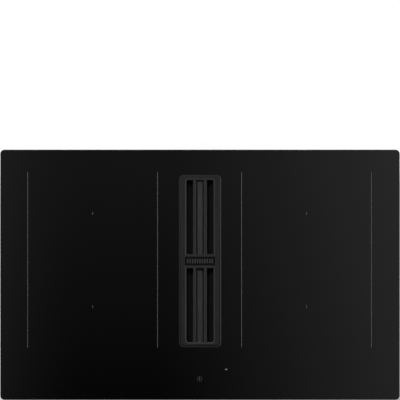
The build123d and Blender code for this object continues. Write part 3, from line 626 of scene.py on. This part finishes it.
# %% Print the switch and the small mark
switch_x, switch_y = -1.1 * MM, -216.2 * MM
switch_radius, switch_width = 4.8 * MM, 0.8 * MM
half_ring_steps = 24
stem_shift, stem_length, stem_width = 0.2 * MM, 4.4 * MM, 1.2 * MM
light_x, light_y = 54.6 * MM, -196.4 * MM
light_length, light_width = 4.6 * MM, 2.4 * MM

halves = [arc_band(switch_x, switch_y, switch_radius, switch_width, start, start + math.pi, half_ring_steps)
          for start in (0.0, math.pi)]
stem = bar_outline(switch_x, switch_y + stem_shift, stem_length, stem_width, math.pi / 2)
print_marks("switch_ring", halves, ink("ring_ink", 40))
print_marks("switch_bar", [stem], ink("bar_ink", 106))
print_marks("light_mark", [bar_outline(light_x, light_y, light_length, light_width)], ink("mark_ink", 128))
print("switch at", (switch_x, round(switch_y, 4)))

# %% [markdown]
# ## The folded filter
# The grease filter is expanded aluminium, a sheet slit and stretched into a lattice of diamonds, then folded
# into a W with a flat top and framed. A texture of holes would look flat from the side, so the openings are
# cut in the mesh. The flat sheet is a lattice of half steps: where column and row add up to an even number
# lies the middle of a diamond, and where they add up to an odd number two strands cross. Stretching also
# twists the strands, so crossings stand a little high and low by turns. Bending is then only a matter of
# walking along the fold, which is laid inside the box of the plain folded solid.

# %% Read the fold from the filter's place
mesh_low, mesh_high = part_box("filter_mesh")
diamond_width, diamond_length = 4.6 * MM, 6.6 * MM
opening_share = 0.62
corner_share = 0.2
strand_rise = 0.2 * MM
metal_thickness = 0.6 * MM
valley_x = 17.0 * MM
ridge_x = 5.2 * MM
sheet_drop = 1.0 * MM
fold_inset = 2.0 * MM
sheet_margin = 0.5 * MM
ridge_z = mesh_high.z - fold_inset - sheet_drop
valley_z = mesh_low.z + fold_inset - sheet_drop
edge_z = mesh_high.z - sheet_drop
edge_x = mesh_high.x - sheet_margin
fold = [Vector((-edge_x, 0, edge_z)), Vector((-valley_x, 0, valley_z)), Vector((-ridge_x, 0, ridge_z)),
        Vector((ridge_x, 0, ridge_z)), Vector((valley_x, 0, valley_z)), Vector((edge_x, 0, edge_z))]
runs = list(zip(fold, fold[1:]))
sheet_width = sum((end - start).length for start, end in runs)
sheet_length = mesh_high.y - mesh_low.y - 2 * sheet_margin
print("flat sheet", round(sheet_width, 4), "by", round(sheet_length, 4))


def on_fold(distance):
    """The point of the folded outline at a distance along it, and the way up out of the sheet there."""
    for start, end in runs:
        length = (end - start).length
        if distance <= length or end is fold[-1]:
            way = (end - start) / length
            return start + way * distance, Vector((-way.z, 0, way.x))
        distance -= length


# %% Cut and stretch the sheet
def expanded_sheet():
    """The folded sheet, still without thickness, and how many openings it has."""
    columns = 2 * round(sheet_width / diamond_width)
    rows = 2 * round(sheet_length / diamond_length)
    sheet = bmesh.new()
    made = {}

    def point(column, row, rise):
        spot, up = on_fold(column * sheet_width / columns)
        shift = Vector((0, mesh_low.y + sheet_margin + row * sheet_length / rows, 0))
        return sheet.verts.new(spot + shift + up * rise * strand_rise)

    def crossing(column, row):
        key = (column, row)
        if key not in made:
            made[key] = point(column, row, 1 if column % 2 else -1)
        return made[key]

    # Four crossings lie round the middle of a diamond. Its opening has two corners near each of them, and
    # between the opening and the crossings lie four strands and four small triangles. Where the border of the
    # sheet leaves out a crossing, one plain triangle takes the diamond's place.
    ways = [(1, 0), (0, 1), (-1, 0), (0, -1)]
    openings = 0
    for column in range(columns + 1):
        for row in range(column % 2, rows + 1, 2):
            rim = [(column + u, row + v) for u, v in ways]
            kept = [spot for spot in rim if 0 <= spot[0] <= columns and 0 <= spot[1] <= rows]
            if len(kept) == 4:
                corners = [crossing(*spot) for spot in rim]
                near, far = [], []
                for k, (u, v) in enumerate(ways):
                    u_next, v_next = ways[(k + 1) % 4]
                    for share, ends in ((corner_share, near), (1 - corner_share, far)):
                        across = opening_share * (u + (u_next - u) * share)
                        along = opening_share * (v + (v_next - v) * share)
                        height = (abs(across) - abs(along)) * (-1 if column % 2 else 1)
                        ends.append(point(column + across, row + along, height))
                for k in range(4):
                    sheet.faces.new((corners[k], corners[(k + 1) % 4], far[k], near[k]))
                    sheet.faces.new((corners[k], near[k], far[k - 1]))
                openings += 1
            else:
                edge = [crossing(*spot) for spot in kept]
                if len(kept) == 2:
                    edge.append(crossing(column, row))
                sheet.faces.new(edge)
    sheet.normal_update()
    bmesh.ops.recalc_face_normals(sheet, faces=sheet.faces)
    return sheet, openings


# %% [markdown]
# ## Give the sheet its thickness
# A Solidify modifier turns the stretched sheet into real metal, and it is applied so that the piece's mesh is
# closed. The sheet stands for the plain folded solid of the construction, which is hidden.

# %% Add the filter sheet
def apply_modifiers(piece):
    """Bakes a piece's modifiers into its mesh."""
    graph = bpy.context.evaluated_depsgraph_get()
    baked = bpy.data.meshes.new_from_object(piece.evaluated_get(graph))
    piece.modifiers.clear()
    piece.data = baked


sheet, openings = expanded_sheet()
filter_sheet = add_piece("filter_sheet", [], [], finishes["filter_metal"], "filter")
sheet.to_mesh(filter_sheet.data)
sheet.free()
thick = filter_sheet.modifiers.new("thickness", "SOLIDIFY")
thick.thickness = metal_thickness
thick.offset = 0.0
apply_modifiers(filter_sheet)
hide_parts("filter_mesh")
print("openings", openings, "faces", len(filter_sheet.data.polygons))

# %% [markdown]
# ## Outlines and lofts
# Foam strips and rubber pads both follow a rounded rectangle. A strip could be swept along its route, but
# then its corners would have to be mitred. Here it is made of outlines, one for each point of its section,
# and the corners take care of themselves. A pad is a short stack of such outlines with its first and last
# one closed.

# %% Draw outlines and join them
corner_steps = 5


def outline(half_x, half_y, radius, middle, counts):
    """Points round a rounded rectangle, as many for any radius, with the way out at each of them."""
    ring = []
    for quarter, (right, rear) in enumerate(((1, 1), (-1, 1), (-1, -1), (1, -1))):
        for step in range(corner_steps + 1):
            turn = math.pi / 2 * (quarter + step / corner_steps)
            way = Vector((math.cos(turn), math.sin(turn), 0))
            centre = Vector((middle[0] + right * (half_x - radius), middle[1] + rear * (half_y - radius), 0))
            ring.append((centre + way * radius, way))
    points = []
    for k, (spot, way) in enumerate(ring):
        points.append((spot, way))
        if k % (corner_steps + 1) == corner_steps:
            after = ring[(k + 1) % len(ring)][0]
            count = counts[(k // (corner_steps + 1)) % 2]
            points += [(spot.lerp(after, j / count), way) for j in range(1, count)]
    return points


def loft(loops, ring):
    """The points of loops of equal count and the faces between them. A ring closes, others get caps."""
    points = [spot for loop in loops for spot in loop]
    size, faces = len(loops[0]), []
    for row in range(len(loops) if ring else len(loops) - 1):
        here, above = row * size, (row + 1) % len(loops) * size
        faces += [[here + k, here + (k + 1) % size, above + (k + 1) % size, above + k] for k in range(size)]
    if not ring:
        faces += [list(reversed(range(size))), [(len(loops) - 1) * size + k for k in range(size)]]
    return points, faces


# %% [markdown]
# ## Foam strips
# The glass lies on the worktop on a strip of closed-cell foam, and a thinner one closes the joint between the
# well and the inlet. Squeezed foam is flat only where it is pressed, and its free sides bulge and wander a
# little, because it was cut with a knife. The wandering is a few sine waves added up, because these meet
# again where the strip does.

# %% Lay the foam strips
foam_step = 4.0 * MM
least_radius = 0.5 * MM
wave_count = 6


def smooth_random(count, depth):
    """A closed run of numbers from 0 to depth that wanders slowly."""
    parts = [(random.uniform(0.3, 1.0), random.randint(2, count // 6), random.uniform(0, 2 * math.pi))
             for _ in range(wave_count)]
    total = sum(share for share, _, _ in parts)
    return [depth * (0.5 + sum(share * math.sin(2 * math.pi * waves * k / count + shift)
                               for share, waves, shift in parts) / (2 * total)) for k in range(count)]


def foam_strip(name, node, width, corner, wander):
    """One strip. Its section runs up the outer side and down the inner: place across, share of height."""
    low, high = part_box(node)
    middle = ((low.x + high.x) / 2, (low.y + high.y) / 2)
    half_x, half_y, height = (high.x - low.x) / 2, (high.y - low.y) / 2, high.z - low.z
    counts = (int(half_x / foam_step), int(half_y / foam_step))
    half, fat = width / 2, 0.45 * height
    section = [(-half + fat, 0.02), (-half + 0.3 * fat, 0.16), (-half, 0.5), (-half + 0.3 * fat, 0.84),
               (-half + fat, 0.98), (half - fat, 0.98), (half - 0.3 * fat, 0.84), (half, 0.5),
               (half - 0.3 * fat, 0.16), (half - fat, 0.02)]
    size = len(outline(half_x, half_y, corner, middle, counts))
    outer, inner = smooth_random(size, wander), smooth_random(size, wander)
    loops = []
    for across, share in section:
        inset = half + across
        radius = max(corner - inset, least_radius)
        loop = []
        for k, (spot, way) in enumerate(outline(half_x - inset, half_y - inset, radius, middle, counts)):
            shift = -outer[k] if across < 0 else inner[k]
            loop.append(spot + way * shift + Vector((0, 0, low.z + height * share)))
        loops.append(loop)
    points, faces = loft(loops, ring=True)
    strip = add_piece(name, points, faces, finishes["foam_seal"], smooth=True)
    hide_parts(node)
    print(name, "faces", len(faces))


random.seed(11)
foam_strip("worktop_foam", "worktop_seal", 8.0 * MM, 6.0 * MM, 0.35 * MM)
foam_strip("well_foam", "well_seal", 2.0 * MM, 6.0 * MM, 0.12 * MM)

# %% [markdown]
# ## Rubber pads
# The grille stands on six small silicone pads, which keep it from scratching the trim and from rattling. A
# pad that carries a weight is flat above and below, bulges at its sides and has no sharp edge. Where the
# pads stand is read from the corners of the plain ones, which sort into rows and columns.

# %% Round the pads under the grille
pads_low, pads_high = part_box("grille_pads")
pad_source = frame["nodes"]["grille_pads"].data.vertices
pad_height = pads_high.z - pads_low.z
pad_round = 0.35 * MM
pad_corner_share = 0.6
# How many roundings each outline is drawn in, and at what share of the height it lies.
pad_section = ((1.0, 0.0), (0.3, 0.1), (0.0, 0.35), (0.0, 0.65), (0.3, 0.9), (1.0, 1.0))
pad_rows = sorted({round(v.co.y, 5) for v in pad_source})
pad_columns = sorted({round(v.co.x, 5) for v in pad_source})
pad_points, pad_faces = [], []
for x_low, x_high in zip(pad_columns[::2], pad_columns[1::2]):
    for y_low, y_high in zip(pad_rows[::2], pad_rows[1::2]):
        loops = []
        for inset, share in pad_section:
            half_x = (x_high - x_low) / 2 - inset * pad_round
            half_y = (y_high - y_low) / 2 - inset * pad_round
            place = ((x_low + x_high) / 2, (y_low + y_high) / 2)
            level = Vector((0, 0, pads_low.z + share * pad_height))
            ring = outline(half_x, half_y, pad_corner_share * half_x, place, (1, 2))
            loops.append([spot + level for spot, _ in ring])
        points, faces = loft(loops, ring=False)
        pad_faces += [[len(pad_points) + k for k in face] for face in faces]
        pad_points += points
rubber = add_piece("grille_rubbers", pad_points, pad_faces, finishes["silicone"], "grille")
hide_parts("grille_pads")
print("pads", len(pad_columns) // 2 * (len(pad_rows) // 2))

# %% [markdown]
# ## Windings
# Each coil under the glass is one rope of litz wire, wound as a flat spiral from a round hole in the middle
# to an almost square outline. A spiral is a growing radius and a growing angle. Here the radius grows from
# the hole's to the outline's in that direction, so the turns change shape by themselves on their way out. The
# rope is swept along as one unbroken tube, pressed a little flat between the coil former and the mica.

# %% Wind the coils
rope_width = 3.5 * MM
rope_turns = 15
steps_per_turn = 80
rope_sides = 10
hole_reach = 24.0 * MM
coil_corner = 82.0 * MM
squareness = 0.8


def reach(turn, half_x, half_y, corner):
    """How far the outline of a rounded rectangle is from its middle in a direction."""
    c, s = abs(math.cos(turn)), abs(math.sin(turn))
    if half_x * s <= (half_y - corner) * c:
        return half_x / c
    if half_y * c <= (half_x - corner) * s:
        return half_y / s
    ahead = c * (half_x - corner) + s * (half_y - corner)
    return ahead + math.sqrt(ahead ** 2 - (half_x - corner) ** 2 - (half_y - corner) ** 2 + corner ** 2)


def wind_coil(node, side):
    """One coil. Its rope's section is an oval, a little squarer the further its power lies below 1."""
    low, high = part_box(node)
    centre, half_size = (low + high) / 2, (high - low) / 2
    inner = hole_reach + rope_width / 2
    total = rope_turns * steps_per_turn
    line = []
    for k in range(total + 1):
        turn = 2 * math.pi * k / steps_per_turn
        outer = reach(turn, half_size.x, half_size.y, coil_corner) - rope_width / 2
        distance = inner + (outer - inner) * k / total
        line.append(centre + Vector((side * distance * math.cos(turn), distance * math.sin(turn), 0)))
    section = []
    for k in range(rope_sides):
        turn = 2 * math.pi * (k + 0.5) / rope_sides
        c, s = math.cos(turn), math.sin(turn)
        section.append((math.copysign(abs(c) ** squareness, c) * rope_width / 2, s * half_size.z))
    loops = []
    for k, spot in enumerate(line):
        ahead = (line[min(k + 1, total)] - line[max(k - 1, 0)]).normalized()
        across = Vector((-ahead.y, ahead.x, 0))
        loops.append([spot + across * u + Vector((0, 0, v)) for u, v in section])
    points, faces = loft(loops, ring=False)
    rope = add_piece(node.replace("coil_winding", "litz"), points, faces, finishes["copper_litz"],
                     smooth=True)
    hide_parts(node)
    length = sum((b - a).length for a, b in zip(line, line[1:]))
    print(rope.name, "rope", round(length, 2), "m")


for side_name, side in (("left", -1), ("right", 1)):
    for row_name in ("front", "rear"):
        wind_coil(f"coil_winding_{side_name}_{row_name}", side)

# %% [markdown]
# ## Camera
# The picture looks straight down from far away, so edges show no perspective. A long lens at six metres does
# the same, and unlike a parallel view it lets other views frame themselves. The picture is as wide as the
# glass and a hair more, and its middle lies behind the middle of the glass.

# %% Set up the camera
picture_width = 830.8 * MM
picture_middle_y = 155.4 * MM
camera_distance = 6.0
sensor = 36.0

camera_data = bpy.data.cameras.new("camera")
camera_data.sensor_width = sensor
camera_data.lens = sensor * camera_distance / picture_width
camera_data.clip_end = 50.0
camera = bpy.data.objects.new("camera", camera_data)
camera.location = (0.0, picture_middle_y, glass_face + camera_distance)
bpy.context.scene.collection.objects.link(camera)
bpy.context.scene.camera = camera
print("lens", round(camera_data.lens, 1), "mm")

# %% [markdown]
# ## Floor
# The floor is a wide pale sheet just under the lowest piece. It is white by its own colour, helped for the
# eye by a little glow, so the background is white and the object still throws a shadow. From below it is
# clear, so that the underside can be looked at.

# %% Lay the floor
floor_reach = 14.0
floor_gap = 1.0 * MM
floor_white, floor_glow = 0.82, 0.39


def floor_finish():
    finish = Finish("pale_floor")
    path = finish.node("LightPath")
    seen = path["Is Camera Ray"].at_least(path["Is Glossy Ray"]).at_least(path["Is Transmission Ray"])
    matt = finish.node("BsdfDiffuse", None, {"Color": (floor_white, floor_white, floor_white)})["BSDF"]
    bright = finish.mix(seen, (0.0, 0.0, 0.0), (floor_glow, floor_glow, floor_glow))
    glow = finish.node("Emission", None, {"Color": bright, "Strength": 1.0})["Emission"]
    lit = finish.node("AddShader", None, {"Shader": matt, "Shader_001": glow})["Shader"]
    clear = finish.node("BsdfTransparent")["BSDF"]
    below = finish.node("NewGeometry")["Backfacing"]
    shader = finish.node("MixShader", None, {"Fac": below, "Shader": lit, "Shader_001": clear})["Shader"]
    finish.node("OutputMaterial", None, {"Surface": shader})
    return finish.material


def add_stage(name, points, faces, finish):
    mesh = bpy.data.meshes.new(name)
    mesh.from_pydata(points, [], faces)
    mesh.materials.append(finish)
    piece = bpy.data.objects.new(name, mesh)
    bpy.context.scene.collection.objects.link(piece)
    piece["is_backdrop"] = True
    return piece


floor_z = cad_box[0].z - floor_gap
floor_points = [(-floor_reach, -floor_reach, floor_z), (floor_reach, -floor_reach, floor_z),
                (floor_reach, floor_reach, floor_z), (-floor_reach, floor_reach, floor_z)]
add_stage("floor", floor_points, [(0, 1, 2, 3)], floor_finish())
print("floor at", round(floor_z, 4))

# %% [markdown]
# ## What the glass mirrors
# From straight above, black glass shows only what hangs above it. A studio hangs a graded card there: nearly
# black over the left, fading up to a soft grey at the right and the rear, and a little at the far left. The
# card is here a plane that only reflections can see, so it neither blocks the camera nor shades the object,
# and it fades out towards its rim, so that no view finds a hard edge in the glass. Rays spread on their
# way, so a point of the glass mirrors one of the card that lies further out, and dividing by that spread
# lets the fades be written as places on the glass.

# %% Hang the graded card
card_height = 1.5
card_fade, card_reach = 0.75, 1.3


def card_finish():
    """A glow with three fades. Each is the distance past its start, over its length, and never below 0."""
    finish = Finish("graded_card")
    spread = 1 + card_height / camera_distance
    x = finish.along("X") / spread
    y = (finish.along("Y") - picture_middle_y) / spread + picture_middle_y
    right = (x + 0.10).at_least(0.0) / 0.50
    left = (-0.22 - x).at_least(0.0) / 0.19
    rear = (y + 0.26).at_least(0.0) / 0.52
    strength = 0.026 + 0.34 * right ** 1.4 + 0.118 * left ** 2 + 0.123 * rear
    tone = finish.mix(strength, (0.0, 0.0, 0.0), (1.0, 1.0, 1.0))
    glow = finish.node("Emission", None, {"Color": tone, "Strength": 1.0})["Emission"]
    clear = finish.node("BsdfTransparent")["BSDF"]
    outward = (finish.along("X") ** 2 + (finish.along("Y") - picture_middle_y) ** 2) ** 0.5
    shader = finish.node("MixShader", None, {"Fac": outward.rise(card_fade, card_reach), "Shader": glow,
                                             "Shader_001": clear})["Shader"]
    finish.node("OutputMaterial", None, {"Surface": shader})
    return finish.material


card_z = glass_face + card_height
card_points = [(-card_reach, picture_middle_y - card_reach, card_z),
               (-card_reach, picture_middle_y + card_reach, card_z),
               (card_reach, picture_middle_y + card_reach, card_z),
               (card_reach, picture_middle_y - card_reach, card_z)]
card = add_stage("graded_card", card_points, [(0, 1, 2, 3)], card_finish())
for ray in ("camera", "diffuse", "transmission", "volume_scatter", "shadow"):
    setattr(card, "visible_" + ray, False)
print("card at", round(card_z, 3))

# %% [markdown]
# ## Lamp
# The rest of the light is plain and soft. One lamp hangs high, behind the object and a little to the left, so
# it reaches down through the grille to the flat top of the filter. It stays outside what the glass mirrors to
# the camera. A lamp shines along its own -Z, so it is turned until that points at the middle of the glass.

# %% Hang the lamp
lamp_place = Vector((-0.18, 0.95, 2.9))
lamp_size = 0.7
lamp_power = 62.0

light = bpy.data.lights.new("lamp_high", "AREA")
light.shape = "DISK"
light.size = lamp_size
light.energy = lamp_power
lamp = bpy.data.objects.new("lamp_high", light)
lamp.location = lamp_place
lamp.rotation_mode = "QUATERNION"
lamp.rotation_quaternion = (-lamp_place).to_track_quat("-Z", "Y")
bpy.context.scene.collection.objects.link(lamp)
print("lamp of", lamp_power, "W,", round(lamp_place.length, 2), "m away")

# %% [markdown]
# ## Room
# Lamps at the sides would show as hard white discs in the glass, so the room does their work. It is dim
# overhead and pale near the horizon, and a wide window with soft edges low on the right draws a thin bright
# line along every edge that faces it. The world's nodes are written like a finish, with a direction's X, Y
# and Z in place of a point's.

# %% Paint the room
world = bpy.data.worlds.new("studio")
bpy.context.scene.world = world
world.use_nodes = True
world.node_tree.nodes.clear()


class Sky(Finish):
    """The world's own nodes, made the same way as a material's."""

    def __init__(self, tree):
        self.tree = tree


window_light = 2.2
sky = Sky(world.node_tree)
toward = sky.node("SeparateXYZ", None, {"Vector": sky.node("TexCoord")["Generated"]})
wall = sky.mix(toward["X"].rise(-0.8, 0.8), grey(196), grey(240))
room = sky.mix(toward["Z"].rise(0.05, 0.8), wall, grey(70))
window = toward["X"].rise(0.7, 0.98) * toward["Z"].rise(-0.1, 0.02) * toward["Z"].rise(0.42, 0.2)
bright = sky.mix(window, room, (window_light, window_light, window_light))
backdrop = sky.node("Background", None, {"Color": bright, "Strength": 1.0})["Background"]
sky.node("OutputWorld", None, {"Surface": backdrop})
bpy.context.scene.view_settings.view_transform = "Standard"
print("window is", window_light, "times as bright as white")

# %% [markdown]
# ## The sizes
# Blender must not make the object larger than it is, so both sizes are printed side by side.

# %% Print the sizes
shown_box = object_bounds()
for kind, (low, high) in (("construction", cad_box), ("what shows", shown_box)):
    print(kind, [round(v, 4) for v in high - low])
